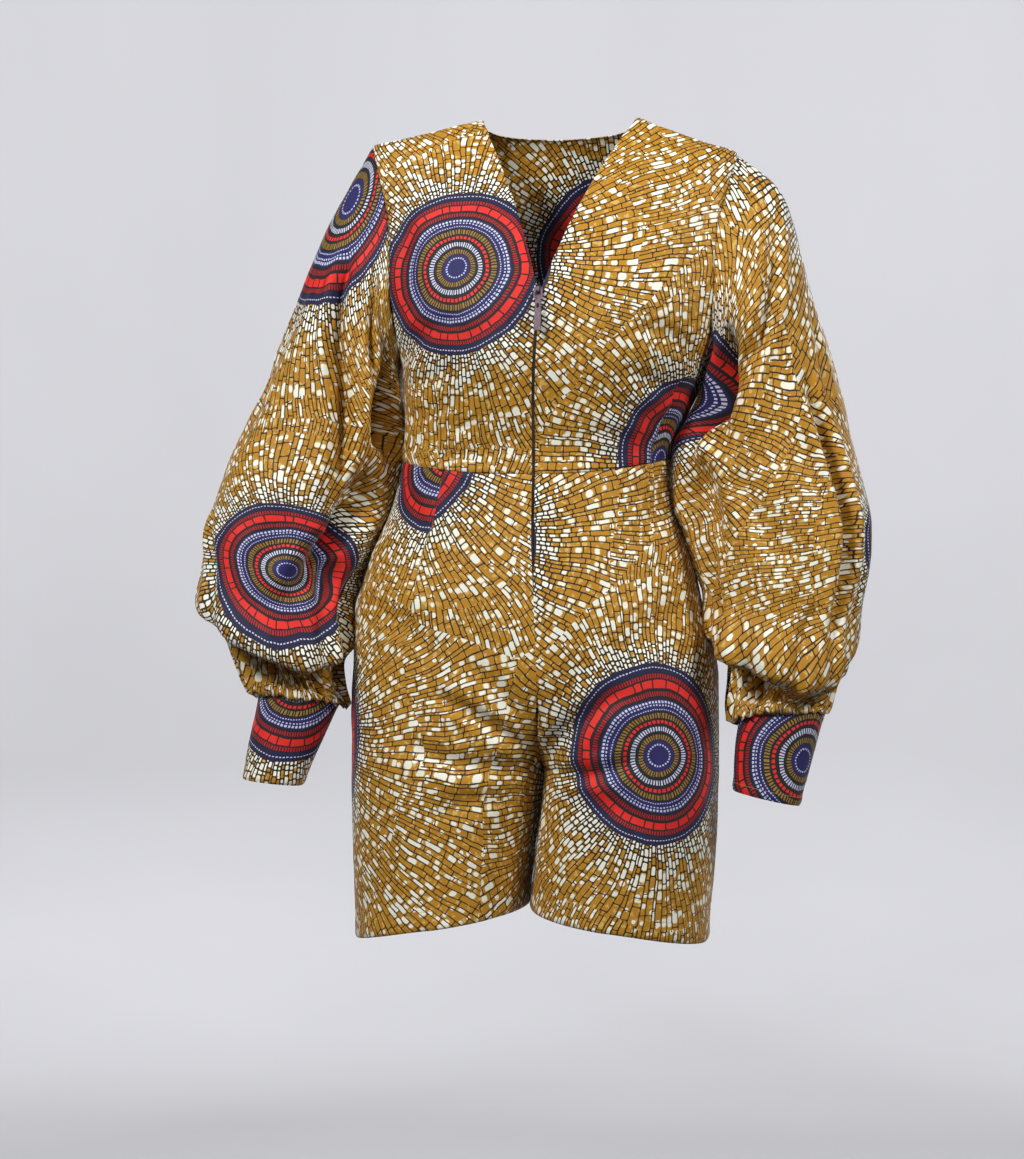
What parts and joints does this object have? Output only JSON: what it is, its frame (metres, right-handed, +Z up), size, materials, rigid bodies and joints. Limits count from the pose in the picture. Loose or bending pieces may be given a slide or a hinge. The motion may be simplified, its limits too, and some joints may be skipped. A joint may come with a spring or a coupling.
{
  "type": "jumpsuit",
  "caption": "Short jumpsuit in its worn, empty form: V neck, centre-front zip, waist seam, short wide legs and full sleeves gathered into deep cuffs.",
  "frame": {"origin": "midway between the two points where the neck edge meets the shoulder seams, where the wearer's shoulders hold it", "axes": "+Z up, front faces -Y, wearer's left is +X"},
  "size_m": [0.6866, 0.2496, 0.8428],
  "materials": {
    "print": "plain-weave cotton, printed on both faces with a concentric ring pattern on a brick-like ground, soft waxy sheen",
    "tape": "woven mauve-brown zip tape",
    "zip_metal": "satin mauve-grey plated metal"
  },
  "bodies": {
    "garment": {"bodice_front_left": "print", "bodice_front_right": "print", "bodice_back": "print", "shorts_front_left": "print", "shorts_front_right": "print", "shorts_back_left": "print", "shorts_back_right": "print", "sleeve_left": "print", "sleeve_right": "print", "cuff_left": "print", "cuff_right": "print", "zip_tape": "tape", "zip_slider": "zip_metal"},
    "pull": {"zip_pull": "zip_metal"}
  },
  "joints": [
    {"name": "pull_swing", "type": "hinge", "parent": "garment", "child": "pull", "pos_m": [-0.00705, -0.11884, -0.188], "axis": [-1, 0, 0], "range_deg": [0, 150]}
  ]
}
